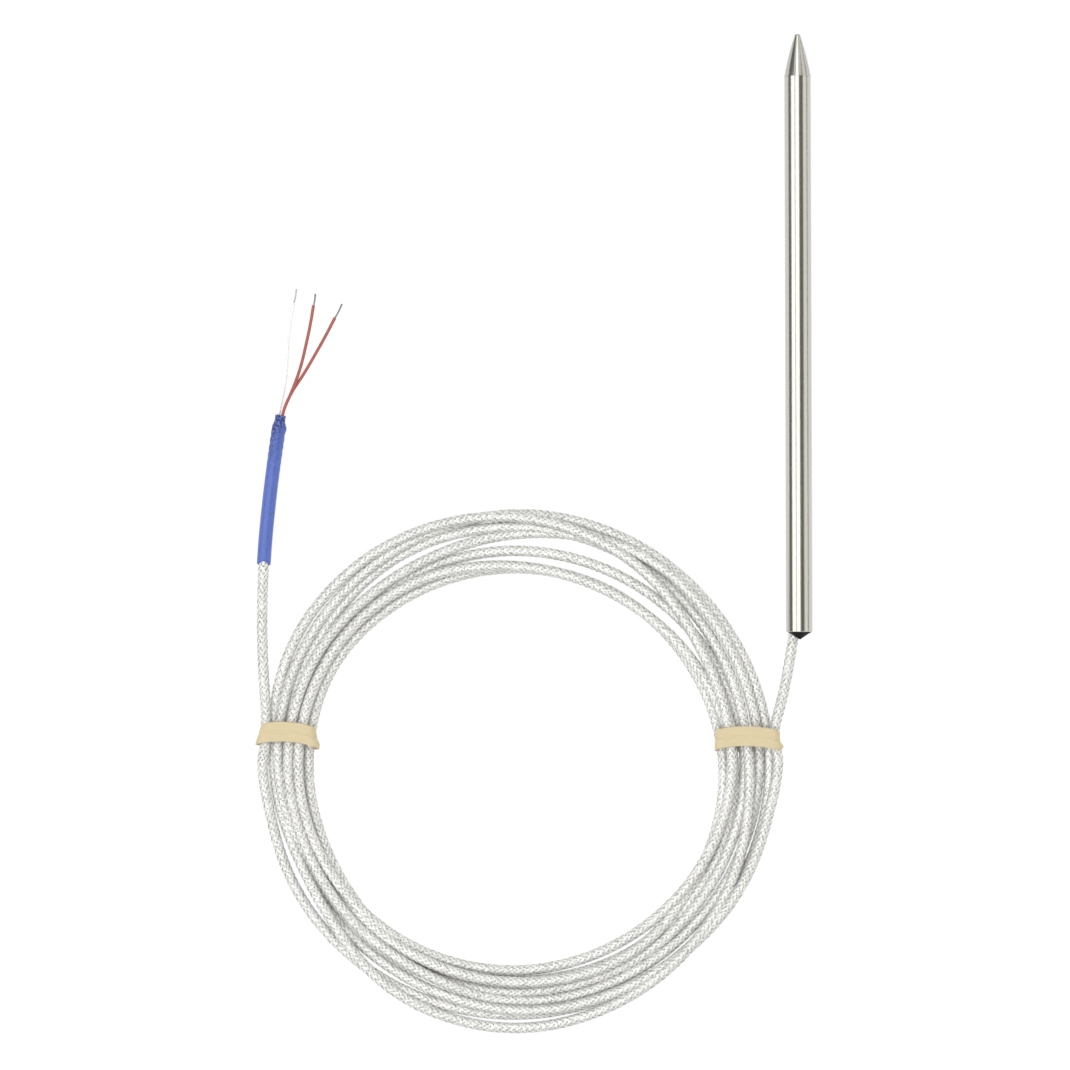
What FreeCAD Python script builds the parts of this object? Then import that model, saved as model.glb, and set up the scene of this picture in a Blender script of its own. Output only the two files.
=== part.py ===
import FreeCAD, Part
import math
import os
import re
import Sketcher

# Three-wire resistance temperature probe: a pointed steel sheath on a coiled, braided cable.
# Millimetres. X points right, Y runs from the cable end of the sheath to its point, Z is up.
# The sheath lies on the surface z = 0, and the origin is under its middle.

SIZES = {
    # Steel sheath: a plain tube with a turned point welded into its front end
    "probe_length": 180.0,
    "sheath_diameter": 8.0,
    "sheath_wall": 0.5,
    "rear_chamfer": 0.15,
    "tip_length": 12.7,
    "tip_ogive_radius": 90.0,
    "tip_end_radius": 0.75,
    "tip_end_rounding": 0.45,
    "spigot_length": 6.0,
    "spigot_clearance": 0.03,
    # Sensing element, which sits at the bottom of a blind bore in the point
    "element_diameter": 3.0,
    "element_length": 15.0,
    "element_depth": 9.0,
    "element_clearance": 0.05,
    "element_lead_diameter": 0.3,
    "element_lead_length": 10.0,
    "bead_diameter": 3.0,
    "bead_length": 6.0,
    # Crimped splices between the element's leads and the cable's cores
    "splice_length": 7.0,
    "splice_overlap": 3.0,
    "splice_step": 0.08,
    "stripped_length": 5.0,
    # Cores: three insulated wires
    "core_diameter": 1.1,
    "core_gap": 0.06,
    "conductor_diameter": 0.56,
    "bare_end_length": 4.3,
    # Resin plug in the rear end, with a conical fillet outside
    "seal_depth": 8.0,
    "seal_overhang": 2.3,
    "seal_rim": 0.24,
    "seal_nose_radius": 0.25,
    # Braided cable and its coil, tied by two rubber bands
    "cable_diameter": 3.4,
    "cable_start_depth": 14.0,
    "cable_straight_length": 9.0,
    "coil_centre_left": 84.7,
    "coil_centre_behind": 41.7,
    "coil_outer_radius": 79.0,
    "coil_width": 20.2,
    "coil_inner_half_span": 2.5,
    "coil_thickness": 6.4,
    "coil_bevel": 1.9,
    "band_width": 6.2,
    "band_thickness": 0.9,
    "left_band_angle": 170.6,
    "right_band_angle": 8.3,
    # Shrunk sleeve on the free end
    "sleeve_wall": 0.42,
    "sleeve_shoulder_length": 2.6,
    "sleeve_collar_length": 2.5,
    "sleeve_collar_diameter": 3.2,
    "wire_straight_length": 0.8,
}

doc = FreeCAD.newDocument("temperature_sensor")
sheet = doc.addObject("Spreadsheet::Sheet", "Sizes")
for row, (name, number) in enumerate(SIZES.items(), start=1):
    sheet.set(f"A{row}", name)
    sheet.set(f"B{row}", str(number))
    sheet.setAlias(f"B{row}", name)
doc.recompute()

# A sketch counts its axes down from -1, and the points of a line or an arc up from 1
X_AXIS, Y_AXIS = range(-1, -3, -1)
START, END, CENTRE = range(1, 4)
ORIGIN = (X_AXIS, START)
Z_DIRECTION = FreeCAD.Vector(0, 0, 1)


def size(expression):
    """Number that an expression of the sheet's names gives."""
    return float(sheet.evalExpression(expression))


def bound(expression):
    """The same expression as another object of the document writes it."""
    return re.sub(r"\b([a-z]\w*)", r"Sizes.\1", expression)


# Expressions that several pieces share
SHEATH_RADIUS = "sheath_diameter / 2"
BORE_RADIUS = "(sheath_diameter / 2 - sheath_wall)"
SPIGOT_END = "(tip_length + spigot_length)"
ELEMENT_END = "(element_depth + element_length)"
SPLICE_START = f"({ELEMENT_END} + element_lead_length - splice_overlap)"
SPLICE_END = f"({SPLICE_START} + splice_length)"
CORE_START = f"({SPLICE_END} - splice_overlap + stripped_length)"
CABLE_START = "(probe_length - cable_start_depth)"
SEAL_START = "(probe_length - seal_depth)"
CABLE_RADIUS = "cable_diameter / 2"
COIL_INNER_RADIUS = "(coil_outer_radius - coil_width)"
SLEEVE_RADIUS = "(cable_diameter / 2 + sleeve_wall)"

# Pieces of the probe are drawn standing on the point, with Z as the distance from it,
# and this placement lays them down along Y
PROBE = FreeCAD.Placement(
    FreeCAD.Vector(0, size("probe_length / 2"), size(SHEATH_RADIUS)),
    FreeCAD.Rotation(FreeCAD.Vector(1, 0, 0), 90),
)


def in_probe(x, y, z):
    """Placement of a piece at a point of the standing probe."""
    return PROBE.multiply(FreeCAD.Placement(FreeCAD.Vector(x, y, z), FreeCAD.Rotation()))


def new_body(name, placement):
    body = doc.addObject("PartDesign::Body", name)
    body.Placement = placement
    return body


def new_sketch(body, name, role):
    sketch = body.newObject("Sketcher::SketchObject", name)
    plane = [feature for feature in body.Origin.OriginFeatures if feature.Role == role][0]
    sketch.AttachmentSupport = [(plane, "")]
    sketch.MapMode = "FlatFace"
    return sketch


def constrain(sketch, name, expression, *what):
    """Adds a dimension to a sketch and binds it to the sheet."""
    index = sketch.addConstraint(Sketcher.Constraint(*what, size(expression)))
    sketch.renameConstraint(index, name)
    sketch.setExpression(f"Constraints.{name}", bound(expression))


def draw_outline(sketch, corners):
    """Closed outline through corners, each two expressions and the radius of an arc that starts there."""
    places = [FreeCAD.Vector(size(across), size(along), 0) for across, along, *arc in corners]
    count = len(places)
    for i, (across, along, *arc) in enumerate(corners):
        first, last = places[i], places[(i + 1) % count]
        side = bulging_arc(first, last, size(*arc)) if arc else Part.LineSegment(first, last)
        sketch.addGeometry(side, False)
    for i in range(count):
        sketch.addConstraint(Sketcher.Constraint("Coincident", i, END, (i + 1) % count, START))
    for i, (across, along, *arc) in enumerate(corners):
        if across == "0":
            sketch.addConstraint(Sketcher.Constraint("PointOnObject", i, START, Y_AXIS))
        else:
            constrain(sketch, f"across{i}", across, "DistanceX", *ORIGIN, i, START)
        if along == "0":
            sketch.addConstraint(Sketcher.Constraint("PointOnObject", i, START, X_AXIS))
        else:
            constrain(sketch, f"along{i}", along, "DistanceY", *ORIGIN, i, START)
        if arc:
            constrain(sketch, f"radius{i}", *arc, "Radius", i)


def bulging_arc(first, last, radius):
    """Arc from first to last whose centre lies on the left of the way between them."""
    middle = (first + last) * 0.5
    way = last - first
    left = FreeCAD.Vector(-way.y, way.x, 0).normalize()
    centre = middle + left * math.sqrt(radius ** 2 - (way.Length / 2) ** 2)
    angles = [math.atan2(point.y - centre.y, point.x - centre.x) for point in (first, last)]
    return Part.ArcOfCircle(Part.Circle(centre, Z_DIRECTION, radius), *angles)


def draw_slot(sketch, half_span, radius):
    """Two half circles on the sketch's X axis, joined by straight sides."""
    span, reach = size(half_span), size(radius)
    quarter = math.pi / 2
    right = Part.Circle(FreeCAD.Vector(span, 0, 0), Z_DIRECTION, reach)
    left = Part.Circle(FreeCAD.Vector(-span, 0, 0), Z_DIRECTION, reach)
    sketch.addGeometry(Part.ArcOfCircle(right, -quarter, quarter), False)
    sketch.addGeometry(
        Part.LineSegment(FreeCAD.Vector(span, reach, 0), FreeCAD.Vector(-span, reach, 0)), False)
    sketch.addGeometry(Part.ArcOfCircle(left, quarter, 3 * quarter), False)
    sketch.addGeometry(
        Part.LineSegment(FreeCAD.Vector(-span, -reach, 0), FreeCAD.Vector(span, -reach, 0)), False)
    for i in range(4):
        sketch.addConstraint(Sketcher.Constraint("Tangent", i, END, (i + 1) % 4, START))
    sketch.addConstraint(Sketcher.Constraint("PointOnObject", 0, CENTRE, X_AXIS))
    sketch.addConstraint(Sketcher.Constraint("Symmetric", 0, CENTRE, 2, CENTRE, *ORIGIN))
    constrain(sketch, "half_span", half_span, "DistanceX", *ORIGIN, 0, CENTRE)
    constrain(sketch, "radius", radius, "Radius", 0)


def revolved(name, corners):
    """Turned piece of the probe: its half section, as radius and distance from the point."""
    body = new_body(name, PROBE)
    sketch = new_sketch(body, f"{name}_section", "XZ_Plane")
    draw_outline(sketch, corners)
    turn = body.newObject("PartDesign::Revolution", f"{name}_turned")
    turn.Profile = sketch
    turn.ReferenceAxis = (sketch, ["V_Axis"])
    turn.Angle = 360
    doc.recompute()
    return body


def edges_where(shape, test):
    return [f"Edge{i}" for i, edge in enumerate(shape.Edges, start=1) if test(edge)]


def is_ring(edge, radius, height):
    """True for a full circle of the radius at the height."""
    return (edge.Curve.TypeId == "Part::GeomCircle" and abs(edge.Curve.Radius - radius) < 0.001
            and abs(edge.CenterOfMass.z - height) < 0.001)


def dress(body, kind, name, edges, value_name, expression):
    """Fillet or chamfer on edges of the body's last feature."""
    feature = body.newObject(f"PartDesign::{kind}", name)
    feature.Base = (body.Group[-2], edges)
    feature.setExpression(value_name, bound(expression))
    doc.recompute()
    return feature


def rod(name, radius, length, placement):
    """Plain round bar."""
    bar = doc.addObject("Part::Cylinder", name)
    bar.setExpression("Radius", bound(radius))
    bar.setExpression("Height", bound(length))
    bar.Placement = placement
    doc.recompute()
    return bar


def joined(name, pieces):
    whole = doc.addObject("Part::MultiFuse", name)
    whole.Shapes = pieces
    doc.recompute()
    return whole


def cut_round(name, base, inner):
    """The base without the space that other pieces fill, so that they meet face to face."""
    rest = doc.addObject("Part::Cut", name)
    rest.Base = base
    rest.Tool = inner[0] if len(inner) == 1 else joined(f"{name}_space", inner)
    doc.recompute()
    return rest


# Sheath tube
sheath_tube = revolved("sheath_tube", [
    (BORE_RADIUS, "tip_length"),
    (SHEATH_RADIUS, "tip_length"),
    (SHEATH_RADIUS, "probe_length"),
    (BORE_RADIUS, "probe_length"),
])
dress(sheath_tube, "Chamfer", "sheath_rear_edge",
      edges_where(sheath_tube.Tip.Shape,
                  lambda edge: is_ring(edge, size(SHEATH_RADIUS), size("probe_length"))),
      "Size", "rear_chamfer")

# Pointed tip: an ogive with a spigot into the tube and a blind bore for the element
ELEMENT_BORE = "(element_diameter / 2 + element_clearance)"
SPIGOT_RADIUS = "(sheath_diameter / 2 - sheath_wall - spigot_clearance)"
pointed_tip = revolved("pointed_tip", [
    ("0", "0"),
    ("tip_end_radius", "0", "tip_ogive_radius"),
    (SHEATH_RADIUS, "tip_length"),
    (SPIGOT_RADIUS, "tip_length"),
    (SPIGOT_RADIUS, SPIGOT_END),
    (ELEMENT_BORE, SPIGOT_END),
    (ELEMENT_BORE, "element_depth"),
    ("0", "element_depth"),
])
dress(pointed_tip, "Fillet", "tip_rounding",
      edges_where(pointed_tip.Tip.Shape, lambda edge: is_ring(edge, size("tip_end_radius"), 0)),
      "Radius", "tip_end_rounding")

# Sensing element on the floor of the point's bore
sensing_element = rod("sensing_element", "element_diameter / 2", "element_length",
                      in_probe(0, 0, size("element_depth")))

# The three cores stand in a triangle about the axis: white at the left, red at the right
CORE_PITCH = "(core_diameter + core_gap)"
core_circle = size(CORE_PITCH) / math.sqrt(3)
CORE_PLACES = {
    "white": (-core_circle, 0),
    "red_1": (core_circle / 2, size(CORE_PITCH) / 2),
    "red_2": (core_circle / 2, -size(CORE_PITCH) / 2),
}
LEAD_PLACES = {"white": -core_circle, "red": core_circle / 2}

# Element leads and the twin-bore bead that keeps them apart
element_leads = {}
for colour, x in LEAD_PLACES.items():
    element_leads[colour] = rod(f"{colour}_element_lead", "element_lead_diameter / 2",
                                "element_lead_length", in_probe(x, 0, size(ELEMENT_END)))
bead = rod("bead_outline", "bead_diameter / 2", "bead_length", in_probe(0, 0, size(ELEMENT_END)))
lead_insulator = cut_round("lead_insulator", bead, list(element_leads.values()))

# Cores inside the sheath, each with its stripped end
cores = {}
for colour, (x, y) in CORE_PLACES.items():
    jacket = rod(f"{colour}_core_jacket", "core_diameter / 2", f"{CABLE_START} - {CORE_START}",
                 in_probe(x, y, size(CORE_START)))
    strand = rod(f"{colour}_core_strand", "conductor_diameter / 2", "stripped_length",
                 in_probe(x, y, size(f"{CORE_START} - stripped_length")))
    cores[colour] = joined(f"{colour}_core", [jacket, strand])

# Splices: a round crimp on the white core and a wide one that takes both red cores
SPLICE_RADIUS = "(core_diameter / 2 - splice_step)"
white_barrel = rod("white_barrel", SPLICE_RADIUS, "splice_length",
                   in_probe(LEAD_PLACES["white"], 0, size(SPLICE_START)))
white_splice = cut_round("white_splice", white_barrel, [element_leads["white"], cores["white"]])
red_barrel = new_body("red_barrel", PROBE.multiply(FreeCAD.Placement(
    FreeCAD.Vector(LEAD_PLACES["red"], 0, size(SPLICE_START)),
    FreeCAD.Rotation(Z_DIRECTION, 90))))
barrel_section = new_sketch(red_barrel, "red_barrel_section", "XY_Plane")
draw_slot(barrel_section, f"{CORE_PITCH} / 2", SPLICE_RADIUS)
barrel = red_barrel.newObject("PartDesign::Pad", "red_barrel_length")
barrel.Profile = barrel_section
barrel.setExpression("Length", bound("splice_length"))
doc.recompute()
red_splice = cut_round("red_splice", red_barrel,
                       [element_leads["red"], cores["red_1"], cores["red_2"]])

# Places on the cable are measured from the middle of the sheath's rear rim, and heights from the
# surface: the height of the sheath's axis, of the cable on the surface, tied, and in its sleeve
rear = FreeCAD.Vector(0, -size("probe_length / 2"), 0)
axis_height = size(SHEATH_RADIUS)
laid = size(CABLE_RADIUS)
tied = size(f"band_thickness + {CABLE_RADIUS}")
sleeved = size(SLEEVE_RADIUS)

PROBE_SIDE = [
    (0, size("cable_start_depth"), axis_height),
    (0, size("cable_start_depth - cable_straight_length"), axis_height),
    (-4.4, -16.5, tied + 0.7),
    (-10.6, -34.4, tied + 0.6),
]
IN_SLEEVE = [
    (-161.5, 21.5, sleeved),
    (-159.2, 44.0, sleeved),
    (-156.8, 60.7, sleeved),
]
FREE_END = [
    (-160.1, -31.5, tied + 0.6),
    (-162.1, -4.0, laid + 0.1),
    *IN_SLEEVE,
]

# Share of the shorter run that the arc at a corner may take
ARC_SHARE = 0.45
CORD_RADII = {}


def route_wire(name, points):
    """Straight runs joined by tangent arcs, each arc as large as its two runs allow."""
    places = [rear + FreeCAD.Vector(*point) for point in points]
    edges = []
    begin = places[0]
    radii = []
    for before, corner, after in zip(places, places[1:], places[2:]):
        back, ahead = before - corner, after - corner
        tangent = ARC_SHARE * min(back.Length, ahead.Length)
        turn = math.pi - back.getAngle(ahead)
        radius = tangent / math.tan(turn / 2)
        radii.append(round(radius, 1))
        leave = corner + back.normalize() * tangent
        enter = corner + ahead.normalize() * tangent
        inward = (back + ahead).normalize()
        middle = corner + inward * (radius / math.cos(turn / 2) - radius)
        edges.append(Part.LineSegment(begin, leave).toShape())
        edges.append(Part.Arc(leave, middle, enter).toShape())
        begin = enter
    edges.append(Part.LineSegment(begin, places[-1]).toShape())
    CORD_RADII[name] = radii
    route = doc.addObject("Part::Feature", f"{name}_route")
    route.Shape = Part.Wire(edges)
    return route


def tube(name, points, radius):
    """Round tube along a route."""
    route = route_wire(name, points)
    first = route.Shape.Edges[0]
    section = doc.addObject("Part::Circle", f"{name}_section")
    section.setExpression("Radius", bound(radius))
    section.Placement = FreeCAD.Placement(
        first.valueAt(first.FirstParameter),
        FreeCAD.Rotation(Z_DIRECTION, first.tangentAt(first.FirstParameter)))
    sweep = doc.addObject("Part::Sweep", name)
    sweep.Sections = [section]
    sweep.Spine = (route, [f"Edge{i}" for i in range(1, len(route.Shape.Edges) + 1)])
    sweep.Solid = True
    sweep.Frenet = False
    doc.recompute()
    return sweep


# Cable coil: the outer shape of the wound and tied turns
coil_centre = rear + FreeCAD.Vector(-size("coil_centre_left"), -size("coil_centre_behind"), 0)
coil = new_body("cable_coil", FreeCAD.Placement(
    coil_centre + Z_DIRECTION * size("band_thickness"), FreeCAD.Rotation()))
coil_outline = new_sketch(coil, "coil_outline", "XY_Plane")
coil_outline.addGeometry(
    Part.Circle(FreeCAD.Vector(0, 0, 0), Z_DIRECTION, size("coil_outer_radius")), False)
coil_outline.addConstraint(Sketcher.Constraint("Coincident", 0, CENTRE, *ORIGIN))
constrain(coil_outline, "radius", "coil_outer_radius", "Radius", 0)
coil_disc = coil.newObject("PartDesign::Pad", "coil_disc")
coil_disc.Profile = coil_outline
coil_disc.setExpression("Length", bound("coil_thickness"))
coil_middle = new_sketch(coil, "coil_middle", "XY_Plane")
draw_slot(coil_middle, "coil_inner_half_span", COIL_INNER_RADIUS)
coil_hole = coil.newObject("PartDesign::Pocket", "coil_hole")
coil_hole.Profile = coil_middle
coil_hole.Type = "ThroughAll"
coil_hole.Reversed = True
doc.recompute()


def is_level(edge):
    """True for an edge that lies in the coil's upper or lower face."""
    box = edge.BoundBox
    return box.ZLength < 0.001


dress(coil, "Chamfer", "coil_edges", edges_where(coil.Tip.Shape, is_level), "Size", "coil_bevel")

# Cable between the sheath and the coil, and between the coil and the free end
probe_side_tube = tube("probe_side_tube", PROBE_SIDE, CABLE_RADIUS)
free_end_tube = tube("free_end_tube", FREE_END, CABLE_RADIUS)
probe_side_cable = cut_round("probe_side_cable", probe_side_tube, [coil])
free_end_cable = cut_round("free_end_cable", free_end_tube, [coil])

# Rear seal: resin that fills the sheath's mouth and runs out in a cone round the cable
seal_form = revolved("seal_form", [
    ("0", SEAL_START),
    (BORE_RADIUS, SEAL_START),
    (BORE_RADIUS, "probe_length"),
    (f"{SHEATH_RADIUS} - seal_rim", "probe_length"),
    ("seal_nose_radius", "probe_length + seal_overhang"),
    ("0", "probe_length + seal_overhang"),
])
rear_seal = cut_round("rear_seal", seal_form, [probe_side_tube])

# Mineral powder packed round everything in the sheath
fill_form = rod("fill_form", BORE_RADIUS, f"{SEAL_START} - {SPIGOT_END}",
                in_probe(0, 0, size(SPIGOT_END)))
powder_fill = cut_round("powder_fill", fill_form, [
    sensing_element, lead_insulator, *element_leads.values(), white_barrel, red_barrel,
    *cores.values(), probe_side_tube])


def coil_inner_reach(angle):
    """Distance from the coil's centre to its inner side, in the direction of the angle."""
    span, radius = size("coil_inner_half_span"), size(COIL_INNER_RADIUS)
    return span * abs(math.cos(angle)) + math.sqrt(radius ** 2 - (span * math.sin(angle)) ** 2)


def band(name, angle_name, cable):
    """Flat rubber band stretched round the tied turns and the cable's end, square to the coil."""
    angle = math.radians(size(angle_name))
    inner = coil_inner_reach(angle)
    reach = inner - size("band_thickness")
    toward = FreeCAD.Vector(math.cos(angle), math.sin(angle), 0)
    block = new_body(f"{name}_block", FreeCAD.Placement(
        coil_centre + toward * reach, FreeCAD.Rotation(Z_DIRECTION, size(angle_name))))
    section = new_sketch(block, f"{name}_section", "XZ_Plane")
    depth = f"coil_outer_radius - {inner} + 2 * band_thickness"
    height = "coil_thickness + 2 * band_thickness"
    draw_outline(section, [("0", "0"), (depth, "0"), (depth, height), ("0", height)])
    strip = block.newObject("PartDesign::Pad", f"{name}_strip")
    strip.Profile = section
    strip.Midplane = True
    strip.setExpression("Length", bound("band_width"))
    doc.recompute()
    lengthwise = edges_where(block.Tip.Shape, lambda edge: edge.BoundBox.YLength > 0.001
                             and edge.BoundBox.XLength + edge.BoundBox.ZLength < 0.001)
    dress(block, "Chamfer", f"{name}_corners", lengthwise,
          "Size", "coil_bevel + (2 - 2 ^ 0.5) * band_thickness")
    loop = cut_round(f"{name}_loop", block, [coil])
    return cut_round(name, loop, [cable])


left_band = band("left_band", "left_band_angle", free_end_tube)
right_band = band("right_band", "right_band_angle", probe_side_tube)

# Insulated wires beyond the cable's end. They leave it in the same triangle as the cores,
# the first red wire above the second, and come down to the surface
cable_end = FreeCAD.Vector(*FREE_END[-1])
end_way = (cable_end - FreeCAD.Vector(*FREE_END[-2])).normalize()
end_side = end_way.cross(Z_DIRECTION)
wire_laid = size("core_diameter / 2")
stacked = wire_laid + size(CORE_PITCH)
collar_way = size("sleeve_shoulder_length + sleeve_collar_length + wire_straight_length")


def wire_root(colour, along):
    """Point of a core beyond the cable's end, still in the cable's triangle."""
    x, y = CORE_PLACES[colour]
    return tuple(cable_end + end_way * along + end_side * x + Z_DIRECTION * y)


WIRE_ROUTES = {
    "white": [
        wire_root("white", 0),
        wire_root("white", collar_way),
        (-154.2, 76.6, wire_laid + 0.3),
        (-153.6, 86.9, wire_laid),
        (-152.5, 95.0, wire_laid),
        (-151.5, 99.4, wire_laid),
    ],
    "red_1": [
        wire_root("red_1", 0),
        wire_root("red_1", collar_way),
        (-153.0, 72.7, stacked + 0.3),
        (-150.3, 79.9, wire_laid + 0.4),
        (-148.2, 88.0, wire_laid),
        (-146.8, 94.1, wire_laid),
        (-146.1, 98.3, wire_laid),
    ],
    "red_2": [
        wire_root("red_2", 0),
        wire_root("red_2", collar_way),
        (-152.7, 72.8, wire_laid + 0.2),
        (-148.8, 78.1, wire_laid),
        (-145.5, 84.3, wire_laid),
        (-142.3, 90.0, wire_laid),
        (-139.5, 94.6, wire_laid),
    ],
}
WIRE_NAMES = {"white": "white_wire", "red_1": "red_wire_1", "red_2": "red_wire_2"}

wires = {}
bare_ends = {}
for colour, points in WIRE_ROUTES.items():
    wire_name = WIRE_NAMES[colour]
    wires[colour] = tube(wire_name, points, "core_diameter / 2")
    wire_tip = FreeCAD.Vector(*points[-1])
    tip_way = wire_tip - FreeCAD.Vector(*points[-2])
    bare_ends[colour] = rod(
        f"{wire_name}_end", "conductor_diameter / 2", "bare_end_length",
        FreeCAD.Placement(rear + wire_tip, FreeCAD.Rotation(Z_DIRECTION, tip_way)))

# End sleeve: shrunk over the cable's end and down onto the wires that leave it
sleeve_tube = tube("sleeve_tube", IN_SLEEVE, SLEEVE_RADIUS)
end_turn = FreeCAD.Rotation(Z_DIRECTION, end_way)
shoulder = doc.addObject("Part::Cone", "sleeve_shoulder")
shoulder.setExpression("Radius1", bound(SLEEVE_RADIUS))
shoulder.setExpression("Radius2", bound("sleeve_collar_diameter / 2"))
shoulder.setExpression("Height", bound("sleeve_shoulder_length"))
shoulder.Placement = FreeCAD.Placement(rear + cable_end, end_turn)
collar = rod("sleeve_collar", "sleeve_collar_diameter / 2", "sleeve_collar_length",
             FreeCAD.Placement(rear + cable_end + end_way * size("sleeve_shoulder_length"), end_turn))
sleeve_form = joined("sleeve_form", [sleeve_tube, shoulder, collar])
end_sleeve = cut_round("end_sleeve", sleeve_form, [free_end_tube, *wires.values()])

SUB_PARTS = {
    "sheath_tube": sheath_tube,
    "pointed_tip": pointed_tip,
    "sensing_element": sensing_element,
    "white_element_lead": element_leads["white"],
    "red_element_lead": element_leads["red"],
    "lead_insulator": lead_insulator,
    "white_splice": white_splice,
    "red_splice": red_splice,
    "white_core": cores["white"],
    "red_core_1": cores["red_1"],
    "red_core_2": cores["red_2"],
    "powder_fill": powder_fill,
    "rear_seal": rear_seal,
    "probe_side_cable": probe_side_cable,
    "cable_coil": coil,
    "free_end_cable": free_end_cable,
    "left_band": left_band,
    "right_band": right_band,
    "end_sleeve": end_sleeve,
}
for colour, wire_name in WIRE_NAMES.items():
    SUB_PARTS[wire_name] = wires[colour]
    SUB_PARTS[f"{wire_name}_end"] = bare_ends[colour]

for label, piece in SUB_PARTS.items():
    piece.Label = label
doc.recompute()

for item in doc.Objects:
    if "Invalid" in item.State or "Error" in item.State:
        raise RuntimeError(f"{item.Name} did not build: {item.State}")
for label, piece in SUB_PARTS.items():
    if piece.Shape.isNull() or not piece.Shape.isValid():
        raise RuntimeError(f"{label} has no valid shape")

for name, radii in CORD_RADII.items():
    print(f"{name}: bend radii {radii} mm")

os.makedirs("parts", exist_ok=True)
for label, piece in SUB_PARTS.items():
    piece.Shape.exportStep(f"parts/{label}.step")
    print(f"{label}: {len(piece.Shape.Solids)} solid, {piece.Shape.Volume:.2f} mm3")
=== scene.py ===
import math
import bpy
import numpy as np
from mathutils import Matrix, Vector


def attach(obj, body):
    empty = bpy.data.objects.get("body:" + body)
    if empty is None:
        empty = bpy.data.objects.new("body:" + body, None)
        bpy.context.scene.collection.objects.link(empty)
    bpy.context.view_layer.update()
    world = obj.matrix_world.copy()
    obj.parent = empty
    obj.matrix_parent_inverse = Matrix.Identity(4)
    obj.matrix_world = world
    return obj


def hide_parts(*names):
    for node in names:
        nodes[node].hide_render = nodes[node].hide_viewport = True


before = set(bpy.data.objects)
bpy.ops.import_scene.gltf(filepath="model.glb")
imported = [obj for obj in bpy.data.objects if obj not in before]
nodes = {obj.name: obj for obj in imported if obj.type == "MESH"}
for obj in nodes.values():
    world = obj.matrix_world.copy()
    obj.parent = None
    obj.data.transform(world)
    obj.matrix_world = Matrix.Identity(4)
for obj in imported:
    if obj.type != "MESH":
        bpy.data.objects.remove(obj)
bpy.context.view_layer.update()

# Studio: a white light table under the object, softboxes on the left and overhead, a strip over the
# point, a warm card low on the right and a white one behind. The camera looks straight down through
# a long lens.
MM = 0.001
STUDIO_MIDDLE = Vector((-79.5, -60.6, 4.0)) * MM
FRAME_WIDTH = 322.3 * MM
FRAME_ROLL = math.radians(-0.182)
CAMERA_HEIGHT = 2.4
SENSOR_WIDTH = 36.0
FLOOR_HALF = 6.0
FLOOR_DROP = 0.05 * MM
SOFTBOX_WHITE = (1.0, 1.0, 0.985)
CARD_WARM = (1.0, 0.98, 0.9)
CARD_WHITE = (1.0, 1.0, 0.99)

scene = bpy.context.scene
scene.view_settings.view_transform = "Standard"


def new_material(name):
    """Material with a single Principled shader. Returns it with its tree and that shader."""
    material = bpy.data.materials.new(name)
    material.use_nodes = True
    tree = material.node_tree
    return material, tree, tree.nodes["Principled BSDF"]


def dressed(piece, material):
    """Gives a piece the one material."""
    piece.data.materials.clear()
    piece.data.materials.append(material)
    return piece


def mesh_piece(name, points, faces):
    """New mesh object from points and faces, shaded smooth."""
    mesh = bpy.data.meshes.new(name)
    mesh.from_pydata([tuple(point) for point in points], [], faces)
    mesh.polygons.foreach_set("use_smooth", [True] * len(mesh.polygons))
    mesh.update()
    piece = bpy.data.objects.new(name, mesh)
    scene.collection.objects.link(piece)
    return piece


floor = mesh_piece("light_table", [
    (-FLOOR_HALF, -FLOOR_HALF, -FLOOR_DROP), (FLOOR_HALF, -FLOOR_HALF, -FLOOR_DROP),
    (FLOOR_HALF, FLOOR_HALF, -FLOOR_DROP), (-FLOOR_HALF, FLOOR_HALF, -FLOOR_DROP)], [(0, 1, 2, 3)])
table_white, _, table_shader = new_material("table_white")
table_shader.inputs["Base Color"].default_value = (0.16, 0.16, 0.16, 1)
table_shader.inputs["Roughness"].default_value = 0.8
table_shader.inputs["Specular IOR Level"].default_value = 0.1
table_shader.inputs["Emission Color"].default_value = (1, 1, 1, 1)
table_shader.inputs["Emission Strength"].default_value = 0.9
dressed(floor, table_white)

world = bpy.data.worlds.new("studio_walls")
scene.world = world
world.use_nodes = True
world.node_tree.nodes["Background"].inputs["Color"].default_value = (0.2, 0.197, 0.18, 1)


def softbox(name, heading, from_degrees, to_degrees, distance, length, shift, colour, radiance):
    """Area light that spans the angles from the vertical toward a heading, 0 to the right. Its length
    and its shift run across that heading."""
    half = math.radians(to_degrees - from_degrees) / 2
    lean = math.radians(to_degrees + from_degrees) / 2
    light = bpy.data.lights.new(name, "AREA")
    light.shape = "RECTANGLE"
    light.size = 2 * distance * math.tan(half)
    light.size_y = length
    light.color = colour
    light.energy = radiance * math.pi * light.size * light.size_y
    holder = bpy.data.objects.new(name, light)
    turn = Matrix.Rotation(math.radians(heading), 3, "Z")
    holder.location = STUDIO_MIDDLE + turn @ Vector((
        distance * math.sin(lean), shift, distance * math.cos(lean)))
    holder.rotation_euler = (0, lean, math.radians(heading))
    scene.collection.objects.link(holder)


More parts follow.
